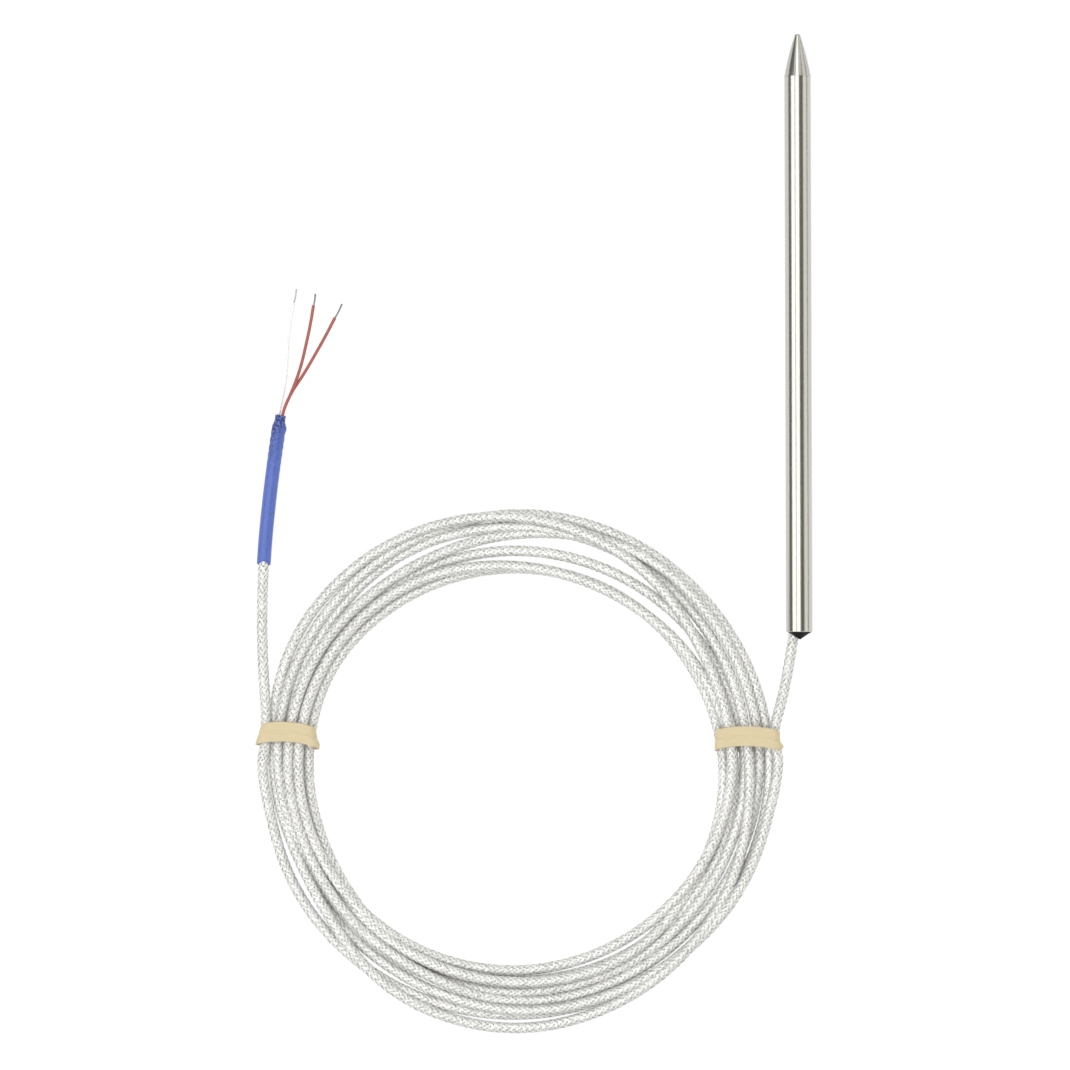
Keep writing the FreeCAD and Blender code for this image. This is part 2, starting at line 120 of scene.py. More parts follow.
softbox("left_softbox", heading=0, from_degrees=-59.5, to_degrees=-27, distance=4.0, length=6.0,
        shift=-1.6, colour=SOFTBOX_WHITE, radiance=1.85)
softbox("top_softbox", heading=0, from_degrees=-21.5, to_degrees=10.5, distance=4.0, length=6.0,
        shift=-1.6, colour=SOFTBOX_WHITE, radiance=1.85)
softbox("point_strip", heading=0, from_degrees=-13, to_degrees=6, distance=4.0, length=2.4,
        shift=2.6, colour=SOFTBOX_WHITE, radiance=1.7)
softbox("right_card", heading=0, from_degrees=46, to_degrees=82, distance=3.5, length=6.0,
        shift=0.0, colour=CARD_WARM, radiance=0.96)
softbox("back_card", heading=90, from_degrees=24, to_degrees=62, distance=3.8, length=5.0,
        shift=0.0, colour=CARD_WHITE, radiance=0.85)

camera_data = bpy.data.cameras.new("camera")
camera_data.sensor_width = SENSOR_WIDTH
camera_data.lens = SENSOR_WIDTH * CAMERA_HEIGHT / FRAME_WIDTH
camera = bpy.data.objects.new("camera", camera_data)
camera.location = STUDIO_MIDDLE + Vector((0, 0, CAMERA_HEIGHT))
camera.rotation_euler = (0, 0, FRAME_ROLL)
scene.collection.objects.link(camera)
scene.camera = camera

# Sheath: drawn stainless tube with a turned point welded in. Bright drawn finish with fine lines
# along the tube, finer turned lines round the point.
REAR_RIM = Vector((0, -90.0, 0)) * MM
SHEATH_AXIS = 4.0 * MM
WELD_SEAM = [(3.97, 166.85), (4.015, 167.05), (4.025, 167.3), (4.005, 167.5), (3.9, 167.75)]
TURNED_SIDES = 64


def grain_group():
    """Shared effect: stretched noise in the piece's own space, as a value from 0 to 1."""
    group = bpy.data.node_groups.new("grain", "ShaderNodeTree")
    group.interface.new_socket("Stretch", in_out="INPUT", socket_type="NodeSocketVector")
    group.interface.new_socket("Value", in_out="OUTPUT", socket_type="NodeSocketFloat")
    entry = group.nodes.new("NodeGroupInput")
    exit_node = group.nodes.new("NodeGroupOutput")
    place = group.nodes.new("ShaderNodeTexCoord")
    stretch = group.nodes.new("ShaderNodeVectorMath")
    stretch.operation = "MULTIPLY"
    noise = group.nodes.new("ShaderNodeTexNoise")
    noise.inputs["Scale"].default_value = 1.0
    noise.inputs["Detail"].default_value = 3.0
    group.links.new(place.outputs["Object"], stretch.inputs[0])
    group.links.new(entry.outputs["Stretch"], stretch.inputs[1])
    group.links.new(stretch.outputs["Vector"], noise.inputs["Vector"])
    group.links.new(noise.outputs["Fac"], exit_node.inputs["Value"])
    return group


GRAIN = grain_group()


def mixed(tree, factor, dark, light):
    """Colour between two others by a factor socket."""
    mix = tree.nodes.new("ShaderNodeMix")
    mix.data_type = "RGBA"
    mix.inputs["A"].default_value = (*dark, 1)
    mix.inputs["B"].default_value = (*light, 1)
    tree.links.new(factor, mix.inputs["Factor"])
    return mix.outputs["Result"]


def ranged(tree, factor, low, high, first=0.0, last=1.0):
    """Value between two others while a factor socket goes from first to last."""
    span = tree.nodes.new("ShaderNodeMapRange")
    span.inputs["From Min"].default_value = first
    span.inputs["From Max"].default_value = last
    span.inputs["To Min"].default_value = low
    span.inputs["To Max"].default_value = high
    tree.links.new(factor, span.inputs["Value"])
    return span.outputs["Result"]


def raised(tree, shader, height, depth):
    """Relief on the surface, its depth in metres."""
    bump = tree.nodes.new("ShaderNodeBump")
    bump.inputs["Distance"].default_value = depth
    tree.links.new(height, bump.inputs["Height"])
    tree.links.new(bump.outputs["Normal"], shader.inputs["Normal"])


def grain_value(tree, stretch):
    """Grain of so many cycles a metre along each axis."""
    grain = tree.nodes.new("ShaderNodeGroup")
    grain.node_tree = GRAIN
    grain.inputs["Stretch"].default_value = stretch
    return grain.outputs["Value"]


def grained(name, dark, light, smooth, rough, stretch, depth, metal=0.0):
    """Material whose colour, roughness and relief all follow one stretched grain."""
    material, tree, shader = new_material(name)
    value = grain_value(tree, stretch)
    tree.links.new(mixed(tree, value, dark, light), shader.inputs["Base Color"])
    tree.links.new(ranged(tree, value, smooth, rough), shader.inputs["Roughness"])
    shader.inputs["Metallic"].default_value = metal
    raised(tree, shader, value, depth)
    return material


drawn_steel = grained("drawn_steel", dark=(0.49, 0.487, 0.455), light=(0.61, 0.606, 0.57),
                      smooth=0.12, rough=0.26, stretch=(2600, 14, 2600), depth=0.004 * MM, metal=1.0)
turned_steel = grained("turned_steel", dark=(0.44, 0.437, 0.41), light=(0.56, 0.557, 0.53),
                       smooth=0.15, rough=0.25, stretch=(60, 5000, 60), depth=0.003 * MM, metal=1.0)
dressed(nodes["sheath_tube"], drawn_steel)
dressed(nodes["pointed_tip"], turned_steel)


def from_rim(point):
    """Place of a point that is measured in millimetres from the floor under the sheath's rear rim."""
    return REAR_RIM + Vector(point) * MM


def skin_faces(rings, sides, first=0, closed=False):
    """Faces of a skin over rings of points that follow each other from a first point on. The skin of
    a closed body comes back to its first ring."""
    faces = []
    for ring in range(rings if closed else rings - 1):
        near = first + ring * sides
        far = first + (ring + 1) % rings * sides
        for side in range(sides):
            beside = (side + 1) % sides
            faces.append((near + side, near + beside, far + beside, far + side))
    return faces


def turned(name, profile, nose_shift=0.0):
    """Turned body about the sheath's axis, from radii and distances ahead of the rear rim in
    millimetres. Its last ring may lie a little to the right."""
    points = []
    for number, (radius, along) in enumerate(profile):
        aside = nose_shift * number / (len(profile) - 1)
        for side in range(TURNED_SIDES):
            angle = 2 * math.pi * side / TURNED_SIDES
            points.append(from_rim((aside + radius * math.cos(angle), along, radius * math.sin(angle)))
                          + Vector((0, 0, SHEATH_AXIS)))
    return mesh_piece(name, points, skin_faces(len(profile), TURNED_SIDES))


weld_seam = dressed(turned("weld_seam", WELD_SEAM), turned_steel)
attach(weld_seam, "root")

# Inside the point: a ceramic-bodied resistance element on two fine leads in a twin-bore bead,
# crimped to the three cores and packed round with mineral powder.
ceramic = grained("fired_ceramic", dark=(0.8, 0.77, 0.7), light=(0.92, 0.9, 0.84),
                  smooth=0.55, rough=0.75, stretch=(1800, 1800, 1800), depth=0.02 * MM)
lead_wire = grained("lead_wire", dark=(0.6, 0.6, 0.58), light=(0.74, 0.74, 0.72),
                    smooth=0.2, rough=0.35, stretch=(9000, 200, 9000), depth=0.003 * MM, metal=1.0)
crimp_tin = grained("crimp_tin", dark=(0.56, 0.56, 0.55), light=(0.75, 0.75, 0.73),
                    smooth=0.25, rough=0.45, stretch=(2500, 2500, 2500), depth=0.01 * MM, metal=1.0)
white_plastic = grained("white_insulation", dark=(0.95, 0.96, 0.98), light=(0.98, 0.985, 0.99),
                        smooth=0.3, rough=0.42, stretch=(900, 900, 900), depth=0.01 * MM)
red_plastic = grained("red_insulation", dark=(0.4, 0.1, 0.083), light=(0.48, 0.13, 0.108),
                      smooth=0.32, rough=0.45, stretch=(900, 900, 900), depth=0.01 * MM)
powder = grained("packed_powder", dark=(0.6, 0.57, 0.5), light=(0.86, 0.83, 0.76),
                 smooth=0.85, rough=0.95, stretch=(4000, 4000, 4000), depth=0.05 * MM)
for name, material in {
        "sensing_element": ceramic, "lead_insulator": ceramic, "white_element_lead": lead_wire,
        "red_element_lead": lead_wire, "white_splice": crimp_tin, "red_splice": crimp_tin,
        "white_core": white_plastic, "red_core_1": red_plastic, "red_core_2": red_plastic,
        "powder_fill": powder}.items():
    dressed(nodes[name], material)

# Rear seal: black casting resin, poured into the sheath's mouth and drawn out to a cone by hand
# while it set round the cable.
SEAL_PROFILE = [
    (0.0, 8.0), (3.7, 8.0), (3.74, 0.1), (3.66, -0.08), (2.9, -0.5), (1.9, -1.12), (0.9, -1.76),
    (0.32, -2.14), (0.12, -2.27), (0.0, -2.3)]
SEAL_NOSE_SHIFT = 0.3
resin = grained("black_resin", dark=(0.003, 0.003, 0.003), light=(0.01, 0.01, 0.009),
                smooth=0.35, rough=0.5, stretch=(700, 700, 700), depth=0.03 * MM)
resin.node_tree.nodes["Principled BSDF"].inputs["Specular IOR Level"].default_value = 0.05
seal = dressed(turned("resin_seal", SEAL_PROFILE, SEAL_NOSE_SHIFT), resin)
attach(seal, "root")
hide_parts("rear_seal")

# Cable: three cores in a grey filler under a tinned braid, 3.4 mm over all. It leaves the seal,
# lies in seven and a half turns that the bands hold, and ends in the blue sleeve.
CABLE_DIAMETER = 3.4 * MM
FILLER_DIAMETER = 3.06 * MM
PRESSED_DIAMETER = 3.0 * MM
LYING_HEIGHT = CABLE_DIAMETER / 2
CABLE_SMOOTHNESS = 32
FILLER_SMOOTHNESS = 12
PROBE_SIDE = [
    (0, 14.0, 4.0), (-0.5, 8.0, 3.3), (-1.25, 1.0, 2.5), (-4.2, -16.3, 2.4), (-6.2, -23.8, 4.1),
    (-8.2, -31.1, 5.2)]
FREE_END = [
    (-160.1, -31.5, 5.0), (-162.1, -4.0, 1.8), (-161.5, 21.5, 2.12), (-159.2, 44.0, 2.12),
    (-156.8, 60.7, 2.12)]

# One row for each turn of the coil, clockwise from the right: the distance from the coil's centre
# at twelve stations, and how high the turn lies there (0 on the floor, 1 and 2 over other turns)
COIL_CENTRE = from_rim((-84.7, -41.7, 0))
STATIONS = 12
TURNS = [
    ([76.6, 75.6, 72.8, 72.3, 70.5, 71.2, 70.4, 71.6, 74.3, 73.6, 72.3, 70.3], "111100000101"),
    ([69.0, 72.6, 75.3, 77.9, 76.7, 70.2, 73.6, 78.6, 78.8, 76.8, 71.8, 65.0], "112011002112"),
    ([64.5, 61.7, 59.8, 60.0, 61.6, 64.3, 66.6, 66.7, 65.3, 61.4, 60.2, 62.1], "110001111111"),
    ([65.4, 65.4, 64.0, 63.1, 64.8, 62.2, 63.3, 64.4, 61.9, 61.0, 60.8, 60.8], "000000000000"),
    ([61.9, 62.3, 64.9, 63.4, 63.6, 65.2, 67.3, 68.3, 67.0, 66.3, 66.1, 67.5], "001110000000"),
    ([68.5, 67.2, 67.0, 66.3, 67.7, 67.2, 69.6, 70.3, 68.8, 71.3, 75.5, 73.7], "010001111011"),
    ([72.6, 70.8, 69.8, 69.8, 66.5, 68.2, 72.6, 74.6, 76.0, 77.6, 76.9, 75.9], "100010101000"),
    ([75.9, 74.6, 73.4, 73.3, 74.7, 76.0, 75.6], "0000001"),
]

# The bands run under the turns and lift them there: angles of the left and the right band, and how
# far to each side the lift is felt, in degrees
BAND_ANGLES = (170.6, 8.3)
BAND_LIFT = 0.9 * MM
BAND_LIFT_REACH = 14.0

# Share of its nearest control point in the middle of a stretch of a spline of order 3
NEAREST_SHARE = 0.75


def station_heights(station):
    """Height of each turn at a station: on the floor or on the turns below it."""
    angle = -360.0 * station / STATIONS
    lift = 0.0
    for band_angle in BAND_ANGLES:
        away = (angle - band_angle + 180.0) % 360.0 - 180.0
        lift += BAND_LIFT * math.exp(-(away / BAND_LIFT_REACH) ** 2)
    present = [(int(levels[station]), number) for number, (radii, levels) in enumerate(TURNS)
               if station < len(radii)]
    heights = {}
    for _, number in sorted(present):
        radius = TURNS[number][0][station] * MM
        height = LYING_HEIGHT + lift
        for other, other_height in heights.items():
            gap = abs(radius - TURNS[other][0][station] * MM)
            if gap < PRESSED_DIAMETER:
                height = max(height, other_height + math.sqrt(PRESSED_DIAMETER ** 2 - gap ** 2))
        heights[number] = height
    return heights


def coil_points():
    """Control points of the turns. They stand out by as much as the spline runs inside them."""
    step = 2 * math.pi / STATIONS
    spread = 1 / (NEAREST_SHARE + (1 - NEAREST_SHARE) * math.cos(step))
    heights = [station_heights(station) for station in range(STATIONS)]
    points = []
    for number, (radii, _) in enumerate(TURNS):
        for station, radius in enumerate(radii):
            reach = radius * MM * spread
            angle = -step * station
            points.append(COIL_CENTRE + Vector((
                reach * math.cos(angle), reach * math.sin(angle), heights[station][number])))
    return points


def route_curve(name, points, thickness, smoothness):
    """Curve along a route, with the route's points as the control points of a NURBS spline."""
    curve = bpy.data.curves.new(name, "CURVE")
    curve.dimensions = "3D"
    curve.resolution_u = smoothness
    curve.bevel_depth = thickness / 2
    curve.bevel_resolution = 3
    curve.use_fill_caps = True
    spline = curve.splines.new("NURBS")
    spline.points.add(len(points) - 1)
    for control, point in zip(spline.points, points):
        control.co = (*point, 1)
    spline.order_u = 3
    spline.use_endpoint_u = True
    piece = bpy.data.objects.new(name, curve)
    scene.collection.objects.link(piece)
    return piece


class Line:
    """Points read from a route's spline, with places and directions by the length along it."""

    def __init__(self, points, smoothness):
        bare = route_curve("bare_route", points, 0, smoothness)
        mesh = bpy.data.meshes.new_from_object(bare)
        self.points = np.array([tuple(vertex.co) for vertex in mesh.vertices])
        bpy.data.objects.remove(bare)
        bpy.data.meshes.remove(mesh)
        steps = np.linalg.norm(np.diff(self.points, axis=0), axis=1)
        self.lengths = np.concatenate([[0], np.cumsum(steps)])
        self.length = float(self.lengths[-1])
        ways = np.gradient(self.points, axis=0)
        self.ways = ways / np.linalg.norm(ways, axis=1)[:, None]

    def read(self, table, along):
        """Rows of the points or the ways, read at lengths along the line."""
        return np.stack([np.interp(along, self.lengths, table[:, i]) for i in range(3)], axis=-1)

    def around(self, along, angle, radius):
        """Points at an angle about the line: angle 0 on its right side, a quarter turn on top."""
        centre = self.read(self.points, along)
        way = self.read(self.ways, along)
        right = np.cross(way, (0.0, 0.0, 1.0))
        right /= np.linalg.norm(right, axis=-1)[..., None]
        up = np.cross(right, way)
        return centre + (right * np.cos(angle)[..., None] + up * np.sin(angle)[..., None]) * (
            np.asarray(radius)[..., None])

    def nearest(self, place):
        """Length along the line at its point nearest to a place."""
        return float(self.lengths[np.argmin(np.linalg.norm(self.points - np.array(place), axis=1))])


CABLE_ROUTE = [*map(from_rim, PROBE_SIDE), *coil_points(), *map(from_rim, FREE_END)]
cable_line = Line(CABLE_ROUTE, CABLE_SMOOTHNESS)
cable_filler = route_curve("cable_filler", CABLE_ROUTE, FILLER_DIAMETER, FILLER_SMOOTHNESS)
filler = grained("grey_filler", dark=(0.36, 0.36, 0.35), light=(0.5, 0.5, 0.49),
                 smooth=0.6, rough=0.8, stretch=(1200, 1200, 1200), depth=0.02 * MM)
dressed(cable_filler, filler)

# Braid: sixteen flat bunches of fine tinned wires, eight wound each way, each over two and
# under two of the others. A bunch is a thin closed ribbon, highest along its middle.
BUNCHES = 8
BRAID_LAY = 15.6 * MM
BUNCH_WIDTH = 0.78 * MM
BUNCH_CROWN = 0.07 * MM
BUNCH_RISE = 0.085 * MM
BRAID_RADIUS = CABLE_DIAMETER / 2 - BUNCH_RISE
BUNCH_WANDER = 0.1
BUNCH_SPREAD = 0.22
BRAID_SEED = 5
SMOOTHING = (0.25, 0.5, 0.25)
STEPS_PER_LAY = 16
POINTS_ACROSS = 3
CROWN_POINT = 1
# Painted light on the tin: how much lighter a bunch's crown is painted where it rises over the others,
# and how much darker its rims are painted, as shade
PAINTED_CROWN_LIGHT = 0.55
PAINTED_RIM_SHADE = 0.25
WIRES_IN_BUNCH = 5
WIRE_RELIEF = 0.02 * MM
SPARKLE_GRAIN = (2600, 2600, 2600)
# Tin colours in painted shade and in painted highlight
SHADED_TIN = (0.5, 0.5, 0.49)
LIT_TIN = (1.0, 1.0, 0.995)


def store_values(piece, name, values):
    """Stores a value at each point of a piece, for its material to read."""
    attribute = piece.data.attributes.new(name, "FLOAT", "POINT")
    attribute.data.foreach_set("value", values)


def stored_value(tree, name):
    """Value that is stored at the points of a piece."""
    attribute = tree.nodes.new("ShaderNodeAttribute")
    attribute.attribute_name = name
    return attribute.outputs["Fac"]


def worked_out(tree, operation, value, other=None):
    """Value from one or two others by a Math node."""
    node = tree.nodes.new("ShaderNodeMath")
    node.operation = operation
    tree.links.new(value, node.inputs[0])
    if other is not None:
        tree.links.new(other, node.inputs[1])
    return node.outputs["Value"]


def braid(name, turn):
    """All bunches that wind one way: turn is 1 or -1."""
    count = int(cable_line.length / BRAID_LAY * STEPS_PER_LAY)
    along = np.linspace(0.0, cable_line.length, count)
    slope = math.atan2(2 * math.pi * BRAID_RADIUS, BRAID_LAY)
    points, faces, painted_light_rows = [], [], []
    chance = np.random.default_rng(BRAID_SEED + turn)
    for bunch in range(BUNCHES):
        crossing = 2 * bunch + turn * 2 * BUNCHES * along / BRAID_LAY
        # Over two crossings and under two: the rise repeats every four
        rise = turn * BUNCH_RISE * np.cos(math.pi / 2 * (crossing - 0.5))
        angle = turn * 2 * math.pi * along / BRAID_LAY + 2 * math.pi * bunch / BUNCHES
        radius = BRAID_RADIUS + rise
        angle = angle + np.convolve(chance.normal(0.0, BUNCH_WANDER, count), SMOOTHING, "same")
        spread = 1 + np.convolve(chance.normal(0.0, BUNCH_SPREAD, count), SMOOTHING, "same")
        half = spread * BUNCH_WIDTH / 2
        sides = []
        for side, drop in ((-1, BUNCH_CROWN), (0, 0.0), (1, BUNCH_CROWN)):
            place = np.clip(along - side * turn * math.sin(slope) * half, 0.0, cable_line.length)
            shift = side * math.cos(slope) * half / BRAID_RADIUS
            sides.append(cable_line.around(place, angle + shift, radius - drop))
        first = len(points)
        points.extend(np.stack(sides, axis=1).reshape(-1, 3))
        # Painted light: the crown is painted lighter where the bunch rises over the others, darker
        # where it dips under them, and its rims darker still, as shade
        lift = PAINTED_CROWN_LIGHT * (1 + rise / BUNCH_RISE) / 2
        painted_light_rows.append(np.stack([lift - PAINTED_RIM_SHADE, lift, lift - PAINTED_RIM_SHADE], axis=1).reshape(-1))
        for step in range(count - 1):
            near = first + POINTS_ACROSS * step
            far = near + POINTS_ACROSS
            for point in range(POINTS_ACROSS):
                beside = (point + 1) % POINTS_ACROSS
                faces.append((near + point, far + point, far + beside, near + beside))
        last = first + POINTS_ACROSS * (count - 1)
        faces.append((first, first + 1, first + 2))
        faces.append((last + 2, last + 1, last))
    piece = mesh_piece(name, points, faces)
    ends = np.empty(2 * len(piece.data.edges), dtype=int)
    piece.data.edges.foreach_get("vertices", ends)
    near, far = ends.reshape(-1, 2).T
    runs_along = abs(near - far) == POINTS_ACROSS
    rims = piece.data.attributes.new("sharp_edge", "BOOLEAN", "EDGE")
    rims.data.foreach_set("value", runs_along & (near % POINTS_ACROSS != CROWN_POINT))
    across = np.linspace(0.0, 1.0, POINTS_ACROSS)
    store_values(piece, "across", np.tile(across, len(points) // POINTS_ACROSS))
    # The painted light and shade of each point, kept under the name lift
    store_values(piece, "lift", np.concatenate(painted_light_rows))
    return piece


tinned, tinned_tree, tinned_shader = new_material("tinned_braid")
wire_angle = ranged(tinned_tree, stored_value(tinned_tree, "across"), 0.0, 2 * math.pi * WIRES_IN_BUNCH)
between = ranged(tinned_tree, worked_out(tinned_tree, "COSINE", wire_angle), 1.0, 0.5)
# Painted glints: a fine grain paints spots of the tin much lighter, as wires catching the light
painted_glints = ranged(tinned_tree, grain_value(tinned_tree, SPARKLE_GRAIN), 0.0, 1.0, first=0.38, last=0.62)
# Painted light: the painted glints and the painted light and shade of the points pick the base colour
# between tin in painted shade and tin in painted highlight
painted_light_sum = worked_out(tinned_tree, "ADD", painted_glints, stored_value(tinned_tree, "lift"))
painted_light = ranged(tinned_tree, painted_light_sum, 0.0, 1.0, first=0.05, last=1.05)
tinned_tree.links.new(mixed(tinned_tree, painted_light, SHADED_TIN, LIT_TIN),
                      tinned_shader.inputs["Base Color"])
raised(tinned_tree, tinned_shader, between, WIRE_RELIEF)
tinned_shader.inputs["Metallic"].default_value = 0.3
tinned_shader.inputs["Roughness"].default_value = 0.35
braids = [braid("braid_right_wound", 1), braid("braid_left_wound", -1)]
for piece in braids:
    dressed(piece, tinned)

for piece in [cable_filler, *braids]:
    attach(piece, "root")
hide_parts("probe_side_cable", "cable_coil", "free_end_cable")

# Bands: flat cream rubber bands in two passes side by side, stretched round the turns. Each bows
# toward the point over the top, its lower rim stands out a little, and a fold sticks out on the right.
BAND_WIDTH = 6.0 * MM
BAND_WALL = 0.75 * MM
BAND_HEIGHT = 8.2 * MM
BAND_CORNER = 2.6 * MM
BAND_BOW = 1.2 * MM
BAND_LEAN = 0.8 * MM
BAND_GROOVE = 0.22 * MM
RIM_ROUNDING = 0.12 * MM
ROUND_STEPS = 10
RUN_STEPS = 14
ACROSS_STEPS = 25

# Places across a band, from -1 at its lower rim to 1 at its upper rim
GROOVE_REACH = 0.06
ROUNDED_FROM = 0.75
FOLD_PLACE = -0.5
FOLD_REACH = 0.35
FOLD_SHARPNESS = 6


def rounded_loop(half_length, height, corner):
    """Outline round a bundle, from the lower left: pairs of places along and up."""
    loop = []
    run = half_length - corner
    for quarter, (side, base) in enumerate([(-1, 0), (1, 0), (1, 1), (-1, 1)]):
        middle = (side * run, corner + base * (height - 2 * corner))
        for step in range(ROUND_STEPS + 1):
            angle = math.pi + (quarter + step / ROUND_STEPS) * math.pi / 2
            loop.append((middle[0] + corner * math.cos(angle), middle[1] + corner * math.sin(angle)))
        if quarter % 2 == 0:
            for step in range(1, RUN_STEPS):
                loop.append((side * run * (1 - 2 * step / RUN_STEPS), base * height))
    return np.array(loop)


def rubber_band(name, left, right, flare, fold):
    """Band between the two places where it turns down beside the bundle. Its lower rim is longer by
    the flare, and its fold sticks out so far, both in millimetres."""
    left, right = from_rim(left), from_rim(right)
    middle = (left + right) / 2
    half = (right - left).length / 2
    way = (right - left).normalized()
    toward = Vector((-way.y, way.x, 0))
    rims = np.linspace(-1.0, 1.0, ACROSS_STEPS)
    rows = []
    for wall in (0.0, BAND_WALL):
        outside = wall == 0.0
        for rim in rims if outside else rims[::-1]:
            rounding = RIM_ROUNDING * max(0.0, abs(rim) - ROUNDED_FROM) / (1 - ROUNDED_FROM)
            groove = BAND_GROOVE * math.exp(-(rim / GROOVE_REACH) ** 2) * outside
            inset = wall + (rounding if outside else -rounding) + groove
            reach = half - flare * MM * rim / 2 - inset
            loop = rounded_loop(reach, BAND_HEIGHT - 2 * inset, BAND_CORNER - inset)
            over = loop[:, 1] / (BAND_HEIGHT - 2 * inset)
            bow = BAND_BOW * over * (1 - (loop[:, 0] / half) ** 2)
            shift = rim * BAND_WIDTH / 2 + bow - BAND_LEAN * (1 - over)
            stick_out = fold * MM * math.exp(-((rim - FOLD_PLACE) / FOLD_REACH) ** 2)
            loop[:, 0] += stick_out * np.clip(loop[:, 0] / half, 0, 1) ** FOLD_SHARPNESS
            rows.append([middle + way * along + toward * aside + Vector((0, 0, up + inset))
                         for (along, up), aside in zip(loop, shift)])
    points = [point for row in rows for point in row]
    return mesh_piece(name, points, skin_faces(len(rows), len(rows[0]), closed=True))


rubber = grained("cream_rubber", dark=(0.66, 0.555, 0.34), light=(0.76, 0.655, 0.435),
                 smooth=0.5, rough=0.7, stretch=(350, 2200, 350), depth=0.03 * MM)
bands = [rubber_band("left_rubber_band", left=(-163.0, -30.1, 0), right=(-145.2, -31.4, 0),
                     flare=1.5, fold=0.4),
         rubber_band("right_rubber_band", left=(-25.5, -32.3, 0), right=(-5.9, -32.7, 0),
                     flare=0.2, fold=1.0)]
for piece, node in zip(bands, ("left_band", "right_band")):
    dressed(piece, rubber)
    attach(piece, "root")
    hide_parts(node)

# End sleeve: blue shrink tube over the cable's end. It has shrunk to a collar round the wires, with
# wrinkles, pressed-in pits with painted shade in them and a small bulge behind it; its mouth is cut a
# little hollow.
SLEEVE_ROUTE = [(-161.8, 8.75, 1.96), *FREE_END[2:], (-156.07, 65.75, 2.12)]
SLEEVE_SMOOTHNESS = 40
SLEEVE_STEPS = 90
SLEEVE_SIDES = 48
SLEEVE_RADIUS = 2.12 * MM
SLEEVE_WALL = 0.38 * MM
COLLAR_RADIUS = 1.6 * MM
COLLAR = 1.5 * MM
SHOULDER = 2.4 * MM
MOUTH_REACH = 0.7 * MM
MOUTH_HOLLOW = 1.1 * MM
MOUTH_ROUNDING = 0.1 * MM
MOUTH_SHARPNESS = 150
WRINKLE = 0.07 * MM
WRINKLE_PLACE = 9.0 * MM
WRINKLE_REACH = 6.0 * MM
WRINKLE_PITCH = 2.3 * MM
WRINKLE_SLANT = 1.7
WRINKLE_TURN = 0.6
WRINKLE_WAVES = 3
BULGE = 0.3 * MM
BULGE_PLACE = 3.9 * MM
BULGE_REACH = 0.9 * MM
BULGE_SHARPNESS = 4
CRUMPLE_REACH = 10.5 * MM
CRUMPLE_LEAST = 0.1
CRUMPLE_RIGHT = 0.15
CREASED_COLLAR = 3.0 * MM
CREASE_DEPTH = 0.15 * MM
CREASE_GRAIN = (1600, 1600, 1600)
SHRINK_BLUE = (0.107, 0.172, 0.575)
# Near black blue painted into the crumpled pits as shade
CREASE_SHADE_BLUE = (0.008, 0.014, 0.08)
sleeve_line = Line([*map(from_rim, SLEEVE_ROUTE)], SLEEVE_SMOOTHNESS)


def end_sleeve():
    """Outer skin from the mouth to the collar, then the inner skin back to the mouth."""
    angles = np.linspace(0, 2 * math.pi, SLEEVE_SIDES, endpoint=False)
    begin = sleeve_line.nearest(from_rim(SLEEVE_ROUTE[1])) - MOUTH_REACH
    finish = sleeve_line.length
    hollow = begin + MOUTH_HOLLOW * np.clip(np.sin(angles), 0, None) ** 2
    slant = WRINKLE_SLANT * np.sin(angles + WRINKLE_TURN)
    rightward = np.clip(np.cos(angles), 0, 1) ** BULGE_SHARPNESS
    leftward = CRUMPLE_RIGHT + (1 - CRUMPLE_RIGHT) * (1 - np.cos(angles)) / 2
    shares = np.linspace(0.0, 1.0, SLEEVE_STEPS)
    rings, crumples = [], []
    for wall in (0.0, SLEEVE_WALL):
        outside = wall == 0.0
        for share in shares if outside else shares[::-1]:
            along = hollow + (finish - hollow) * share
            left_over = finish - along
            narrow = np.clip((left_over - COLLAR) / SHOULDER, 0.0, 1.0)
            narrow = narrow * narrow * (3 - 2 * narrow)
            radius = COLLAR_RADIUS + (SLEEVE_RADIUS - COLLAR_RADIUS) * narrow
            wrinkled = np.exp(-((left_over - WRINKLE_PLACE) / WRINKLE_REACH) ** 2)
            radius = radius + WRINKLE * wrinkled * np.sin(
                2 * math.pi * left_over / WRINKLE_PITCH + slant + np.sin(WRINKLE_WAVES * angles))
            bulge = np.exp(-((left_over - BULGE_PLACE) / BULGE_REACH) ** 2) * rightward
            radius = radius + BULGE * bulge
            radius = radius - wall - MOUTH_ROUNDING * math.exp(-share * MOUTH_SHARPNESS) * outside
            rings.append(sleeve_line.around(along, angles, radius))
            patch = np.clip(leftward + np.exp(-(left_over / CREASED_COLLAR) ** 2), 0.0, 1.0)
            patch = patch * np.exp(-(left_over / CRUMPLE_REACH) ** 2)
            crumples.append(CRUMPLE_LEAST + (1 - CRUMPLE_LEAST) * patch)
    piece = mesh_piece("shrunk_sleeve", np.concatenate(rings),
                       skin_faces(len(rings), SLEEVE_SIDES, closed=True))
    store_values(piece, "crumple", np.concatenate(crumples))
    return piece


shrink, shrink_tree, shrink_shader = new_material("blue_shrink")
pits = ranged(shrink_tree, grain_value(shrink_tree, CREASE_GRAIN), 0.0, 1.0, first=0.45, last=0.56)
# Painted shade: the crumpled pits are painted near black blue as well as pressed in
crease_relief_and_shade = worked_out(shrink_tree, "MULTIPLY", stored_value(shrink_tree, "crumple"), pits)
shrink_tree.links.new(mixed(shrink_tree, crease_relief_and_shade, SHRINK_BLUE, CREASE_SHADE_BLUE),
                      shrink_shader.inputs["Base Color"])
shrink_tree.links.new(ranged(shrink_tree, pits, 0.27, 0.36), shrink_shader.inputs["Roughness"])
shrink_shader.inputs["Specular IOR Level"].default_value = 0.5
raised(shrink_tree, shrink_shader, crease_relief_and_shade, -CREASE_DEPTH)
sleeve = dressed(end_sleeve(), shrink)
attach(sleeve, "root")
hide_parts("end_sleeve")

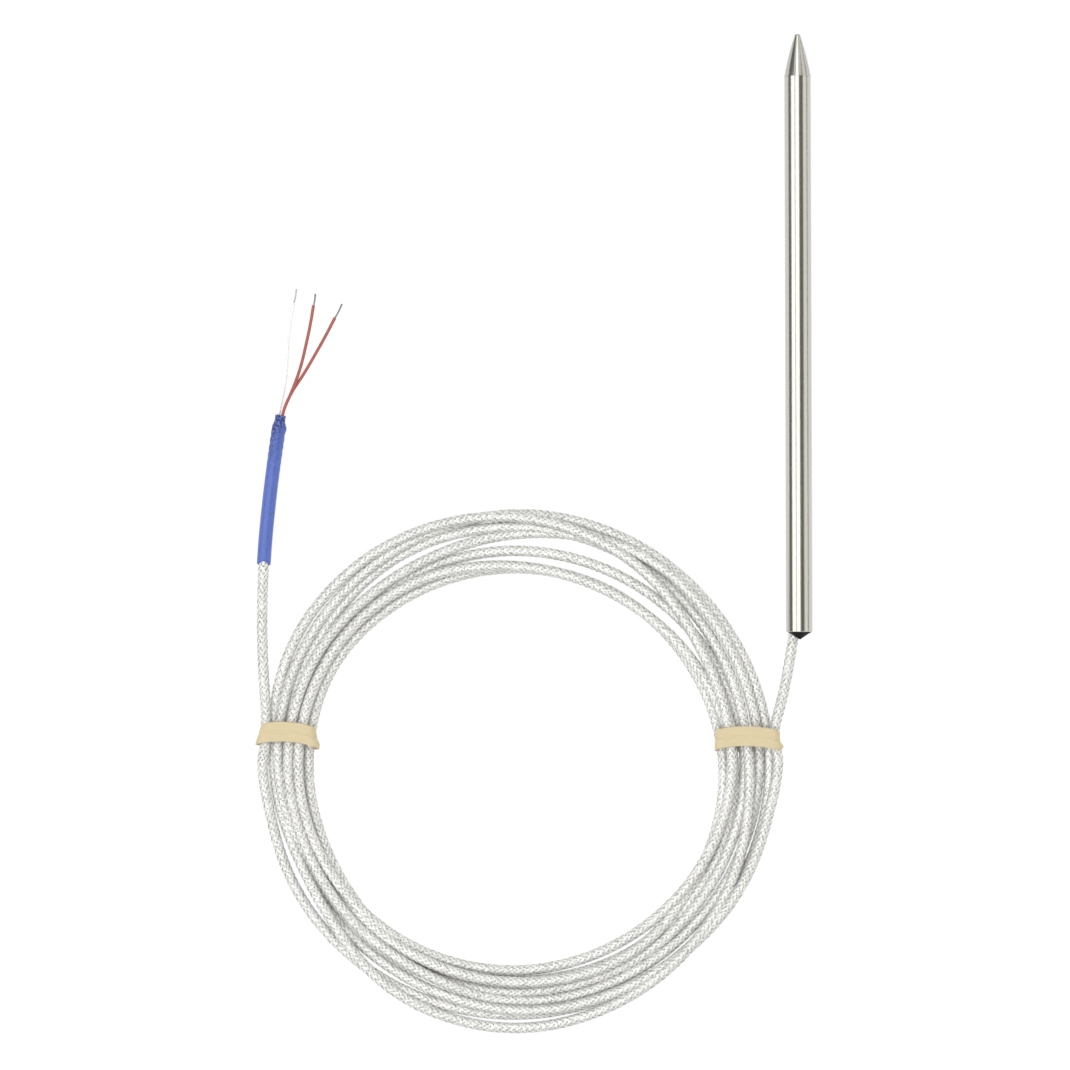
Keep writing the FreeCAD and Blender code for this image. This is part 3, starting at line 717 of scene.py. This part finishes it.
# Wires: one white and two red insulated cores, the first red one above the second where they leave
# the collar. Each is stripped to a few millimetres of tinned strands, with solder on the white one's.
WIRE_DIAMETER = 0.96 * MM
WIRE_SMOOTHNESS = 16
COLLAR_REACH = 5.9
STRANDS = 7
STRAND_RADIUS = 0.085 * MM
STRAND_TWIST = 5.0 * MM
STRAND_KINK = 0.25 * MM
STRAND_PACKING = 0.95
STRAND_SPREAD = 0.25
STRAND_SMOOTHNESS = 12
STRAND_STEPS = 24
STRAND_SIDES = 8
HIDDEN_STRAND = 0.5
SOLDER_BEAD = 0.32 * MM
CABLE_END = from_rim(FREE_END[-1])
END_WAY = (CABLE_END - from_rim(FREE_END[-2])).normalized()
END_SIDE = END_WAY.cross(Vector((0, 0, 1)))
COLLAR_END = CABLE_END + END_WAY * COLLAR_REACH * MM
bare_tin = grained("bare_tin", dark=(0.3, 0.3, 0.295), light=(0.43, 0.43, 0.42),
                   smooth=0.3, rough=0.5, stretch=(2500, 2500, 2500), depth=0.01 * MM, metal=1.0)


def bare_end(name, start, way, bare_length, bead):
    """Six strands twisted round a seventh, which stand out of a wire's insulation, with a bead of
    solder or none."""
    aside = way.cross(Vector((0, 0, 1))) * STRAND_KINK
    line = Line([start - way * HIDDEN_STRAND * MM, start + way * bare_length / 2 + aside,
                 start + way * bare_length], STRAND_SMOOTHNESS)
    points, faces = [], []
    angles = np.linspace(0, 2 * math.pi, STRAND_SIDES, endpoint=False)
    middle = STRANDS - 1
    for strand in range(STRANDS):
        first = len(points)
        for along in np.linspace(0.0, line.length, STRAND_STEPS):
            turn = 2 * math.pi * (strand / middle + along / STRAND_TWIST)
            spread = STRAND_PACKING + STRAND_SPREAD * along / line.length
            off_centre = 0.0 if strand == middle else 2.0 * STRAND_RADIUS * spread
            place = np.full(STRAND_SIDES, along)
            ring = line.around(place, angles, np.full(STRAND_SIDES, STRAND_RADIUS))
            centre = line.around(np.array([along]), np.array([turn]), np.array([off_centre]))
            points.extend(ring + centre - line.read(line.points, np.array([along])))
        faces.extend(skin_faces(STRAND_STEPS, STRAND_SIDES, first))
        last = first + (STRAND_STEPS - 1) * STRAND_SIDES
        faces.append(tuple(range(first + STRAND_SIDES - 1, first - 1, -1)))
        faces.append(tuple(range(last, last + STRAND_SIDES)))
    if bead:
        first = len(points)
        for polar in np.linspace(0.0, math.pi, STRAND_STEPS):
            place = np.full(STRAND_SIDES, line.length - bead * (1 + math.cos(polar)))
            points.extend(line.around(place, angles, np.full(STRAND_SIDES, bead * math.sin(polar))))
        faces.extend(skin_faces(STRAND_STEPS, STRAND_SIDES, first))
    return mesh_piece(name, points, faces)


def insulated_wire(name, aside, above, way_points, plastic, bare, tin, bead=0.0):
    """Wire from the cable's end through the collar and along its way points, with its bare end."""
    offset = END_SIDE * aside * MM + Vector((0, 0, above)) * MM
    route = [CABLE_END + offset, COLLAR_END + offset, *map(from_rim, way_points)]
    wire = dressed(route_curve(f"{name}_insulation", route, WIRE_DIAMETER, WIRE_SMOOTHNESS), plastic)
    way = (route[-1] - route[-2]).normalized()
    strands = dressed(bare_end(f"{name}_strands", route[-1], way, bare * MM, bead), tin)
    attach(wire, "root")
    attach(strands, "root")
    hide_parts(name)
    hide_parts(f"{name}_end")
    Line(route, WIRE_SMOOTHNESS).length


insulated_wire("white_wire", aside=-0.67, above=0.0, way_points=[
    (-154.4, 76.6, 0.85), (-153.95, 86.9, 0.55), (-152.95, 95.0, 0.55), (-152.05, 99.6, 0.55)],
    plastic=white_plastic, bare=4.3, tin=crimp_tin, bead=SOLDER_BEAD)
insulated_wire("red_wire_1", aside=0.335, above=0.58, way_points=[
    (-152.7, 72.7, 2.01), (-150.05, 79.9, 1.0), (-148.15, 88.0, 0.55), (-146.85, 94.1, 0.55),
    (-146.1, 98.9, 0.55)], plastic=red_plastic, bare=3.5, tin=bare_tin)
insulated_wire("red_wire_2", aside=0.335, above=-0.58, way_points=[
    (-152.8, 72.8, 0.75), (-149.1, 78.1, 0.55), (-145.5, 84.3, 0.55), (-142.15, 90.2, 0.55),
    (-139.6, 95.2, 0.55)], plastic=red_plastic, bare=4.6, tin=bare_tin)
